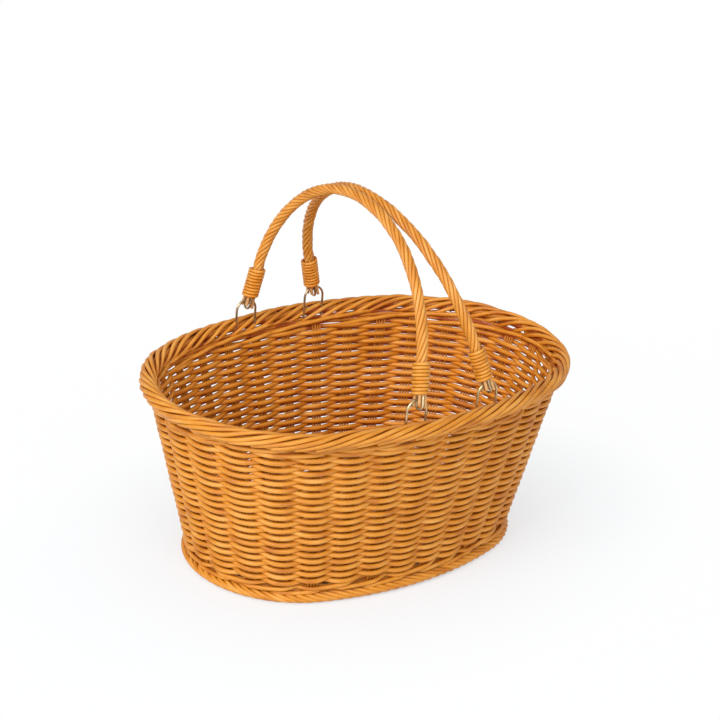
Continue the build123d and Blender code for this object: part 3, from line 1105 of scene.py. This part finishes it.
def draw_cut_canes(side):
    """Cut ends of the canes under each whipping."""
    lines = []
    cut = []
    corners = [(x, y) for x in (-1, 1) for y in (-1, 1)]
    for end in (-1, 1):
        origin, across, up_leg, normal = leg_axes(side, end)
        for (x, y), length in zip(corners, cut_cane_lengths):
            aside = across * x + normal * y
            top = origin + up_leg * cane_start + aside * cut_cane_offset
            tip = top - up_leg * length + aside * (cut_cane_splay * length)
            lines.append([top + up_leg * cut_cane_cover, top, tip + up_leg * cut_face_depth, tip])
            cut += [0.0, 0.0, 0.0, 1.0]
    return draw_lines("cut_canes", lines, {"run": wire_run(lines), "cut": cut})


wire_sizes = {"Sides": wire_sides, "Strand radius": wire_radius, "Finish": brass_finish}
piece = grow("loop_wires", plain_strand, draw_loops(), wire_sizes)
dress(piece, "basket", "brass_wire", "rim_loops")

for side, side_name in ((-1, "left"), (1, "right")):
    body = f"{side_name}_handle"
    normal = leg_axes(side, 1)[3]
    sizes = {
        "Strands": laid_count,
        "Lay radius": lay_radius,
        "Unevenness": lay_unevenness,
        "Across": tuple(normal),
        "Sides": laid_sides,
        "Strand radius": laid_strand / 2,
        "Finish": handle_cane_finish,
    }
    piece = grow(f"{side_name}_laid_canes", laid_strands, draw_bow(side), sizes)
    dress(piece, body, "handle_cane", f"{side_name}_cane")
    core = {**sizes, "Strands": 1, "Lay radius": 0.0, "Unevenness": 0.0}
    piece = grow(f"{side_name}_core_cane", laid_strands, draw_bow(side), core)
    dress(piece, body, "handle_cane", f"{side_name}_cane")
    sizes = {
        **core,
        "Lay radius": whipping_radius,
        "Strand radius": whipping_strand / 2,
        "Finish": weave_cane_finish,
    }
    piece = grow(f"{side_name}_windings", laid_strands, draw_whippings(side), sizes)
    dress(piece, body, "weaving_cane", f"{side_name}_whippings")
    piece = grow(f"{side_name}_eye_wires", plain_strand, draw_eyes(side), wire_sizes)
    dress(piece, body, "brass_wire", f"{side_name}_eyes")
    sizes = {"Sides": wire_sides, "Strand radius": cut_cane / 2, "Finish": cut_cane_finish}
    piece = grow(f"{side_name}_cut_canes", plain_strand, draw_cut_canes(side), sizes)
    dress(piece, body, "cut_cane", f"{side_name}_cane_ends")

for guide in (foot_oval, rim_oval):
    bpy.data.objects.remove(guide)


# Stage, light and camera

white = (1, 1, 1, 1)
ground_reach = 6.0
ground_colour = (0.90, 0.905, 0.91, 1)
ground_colour_seen = (0.82, 0.885, 0.93, 1)
ground_oval = (0.68, 1, 1)
ground_fades = ((0.085, 0.112, 0.58), (0.11, 0.26, 0.37), (0.3, 0.7, 0.05))
sky_colour = (0.95, 0.97, 1, 1)
sky_strength = 0.6

# Lamps: places to the camera's right, beyond the basket and up, then sizes and powers
lamps = {"key": (-2.3, -2.9, 2.9, 2.4, 119), "fill": (0.7, -3.5, 2.7, 3.4, 72)}
lamp_target = Vector((0, 0, 0.1))


def camera_only(tree, plain, seen):
    """The seen shader for the camera, the plain one for light and reflections."""
    share = add(tree, "ShaderNodeLightPath").outputs["Is Camera Ray"]
    return add(tree, "ShaderNodeMixShader", {0: share, 1: plain, 2: seen}).outputs[0]


def make_ground():
    """Pale ground that fades to white away from the basket."""
    mesh = bpy.data.meshes.new("floor")
    corners = [(x * ground_reach, y * ground_reach, 0) for x, y in ((-1, -1), (1, -1), (1, 1), (-1, 1))]
    mesh.from_pydata(corners, [], [(0, 1, 2, 3)])
    material = bpy.data.materials.new("pale_floor")
    material.use_nodes = True
    tree = material.node_tree
    tree.nodes.clear()
    diffuse = add(tree, "ShaderNodeBsdfDiffuse", {"Color": ground_colour}).outputs[0]
    cool = add(tree, "ShaderNodeBsdfDiffuse", {"Color": ground_colour_seen}).outputs[0]
    glow = add(tree, "ShaderNodeEmission", {"Color": white, "Strength": 1.0}).outputs[0]
    distance = measure(tree, "LENGTH", combine(tree, "MULTIPLY", coordinates(tree), ground_oval))
    share = 0.0
    for near, far, part in ground_fades:
        share = calc(tree, "ADD", rescale(tree, distance, near, far, 0.0, part), share)
    lit = add(tree, "ShaderNodeMixShader", {0: share, 1: cool, 2: glow}).outputs[0]
    output = tree.nodes.new("ShaderNodeOutputMaterial")
    tree.links.new(camera_only(tree, diffuse, lit), output.inputs["Surface"])
    mesh.materials.append(material)
    add_object("floor", mesh)


def light_world():
    """Soft light from all round, and plain white behind everything."""
    world = bpy.data.worlds.new("studio")
    bpy.context.scene.world = world
    world.use_nodes = True
    tree = world.node_tree
    tree.nodes.clear()
    inputs = {"Color": sky_colour, "Strength": sky_strength}
    soft = add(tree, "ShaderNodeBackground", inputs).outputs[0]
    plain = add(tree, "ShaderNodeBackground", {"Color": white, "Strength": 1.0}).outputs[0]
    output = tree.nodes.new("ShaderNodeOutputWorld")
    tree.links.new(camera_only(tree, soft, plain), output.inputs["Surface"])


def add_lamp(name, place, size, power):
    """A square lamp that looks at the basket."""
    data = bpy.data.lights.new(name, "AREA")
    data.size = size
    data.energy = power
    lamp = add_object(name, data)
    lamp.location = place
    lamp.rotation_euler = (lamp_target - place).to_track_quat("-Z", "Y").to_euler()


# Camera solved from the photograph: lengths and places in the picture are in pixels
camera_azimuth = math.radians(38.34)
camera_elevation = math.radians(22.52)
camera_roll = math.radians(4.25)
camera_distance = 1819.02 * MM
focal_pixels = 1934.54
picture_pixels = 720
origin_pixel = (347.89, 534.66)
sensor_width = 36


def place_camera():
    """Sets the solved camera and returns its directions to the right and forward."""
    forward = Vector(
        (
            math.sin(camera_azimuth) * math.cos(camera_elevation),
            math.cos(camera_azimuth) * math.cos(camera_elevation),
            -math.sin(camera_elevation),
        )
    )
    right = Vector((math.cos(camera_azimuth), -math.sin(camera_azimuth), 0))
    up = right.cross(forward)
    rolled_right = right * math.cos(camera_roll) + up * math.sin(camera_roll)
    rolled_up = up * math.cos(camera_roll) - right * math.sin(camera_roll)
    shift = [(pixel - picture_pixels / 2) / focal_pixels * camera_distance for pixel in origin_pixel]
    place = -(rolled_right * shift[0] - rolled_up * shift[1] + forward * camera_distance)
    data = bpy.data.cameras.new("camera")
    data.sensor_width = sensor_width
    data.lens = focal_pixels * sensor_width / picture_pixels
    camera = add_object("camera", data)
    turn = Matrix((rolled_right, rolled_up, -forward)).transposed().to_4x4()
    camera.matrix_world = Matrix.Translation(place) @ turn
    bpy.context.scene.camera = camera
    return rolled_right, forward


make_ground()
light_world()
camera_right, camera_forward = place_camera()
level_forward = Vector((camera_forward.x, camera_forward.y, 0)).normalized()
for name, (beside, beyond, above, size, power) in lamps.items():
    place = camera_right * beside + level_forward * beyond + UP * above
    add_lamp(name, place, size, power)

bpy.context.scene.view_settings.view_transform = "Standard"
